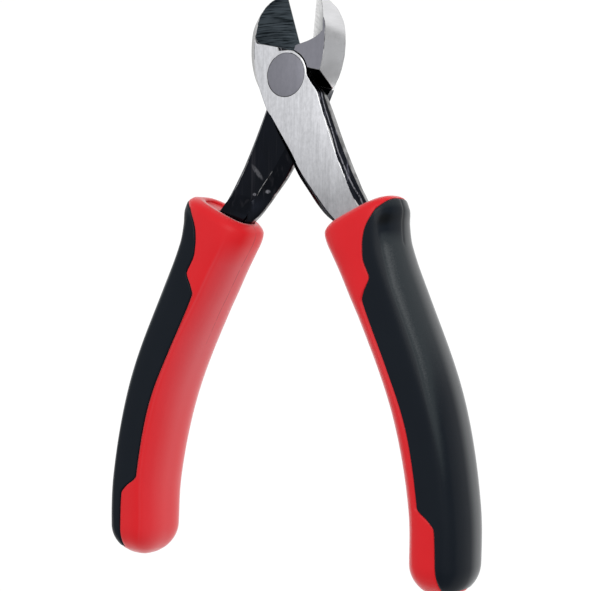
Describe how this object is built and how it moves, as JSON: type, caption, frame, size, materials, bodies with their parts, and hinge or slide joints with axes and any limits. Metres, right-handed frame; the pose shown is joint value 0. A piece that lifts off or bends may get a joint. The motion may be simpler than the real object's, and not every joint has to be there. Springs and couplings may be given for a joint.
{
  "type": "string cutter",
  "caption": "Diagonal hand cutter: bevelled jaws on lapped levers, turning on a flush rivet, with curved two-colour moulded grips, for snipping string, cord and wire.",
  "frame": {"origin": "centre of the rivet's back face, on the pivot axis", "axes": "+Y toward the jaw tips, +Z along the pivot axis from the back of the tool to its front, +X to the right seen from the front"},
  "size_m": [0.1118, 0.1544, 0.0196],
  "materials": {
    "polished_steel": "ground bright on the flats",
    "blackened_steel": "black oxide, glossy",
    "rivet_steel": "ground flush, grey",
    "red_plastic": "satin to gloss moulding",
    "dark_rubber": "matte soft skin"
  },
  "bodies": {
    "rear_half": {"rear_lever": "blackened_steel", "pivot_rivet": "rivet_steel", "left_grip_core": "red_plastic", "left_grip_pad": "dark_rubber"},
    "front_half": {"front_lever": "polished_steel", "right_grip_core": "red_plastic", "right_grip_pad": "dark_rubber"}
  },
  "joints": [
    {"name": "jaw_pivot", "type": "hinge", "parent": "rear_half", "child": "front_half", "pos_m": [0, 0, 0.0055], "axis": [0, 0, 1], "range_deg": [-24, 12]}
  ]
}
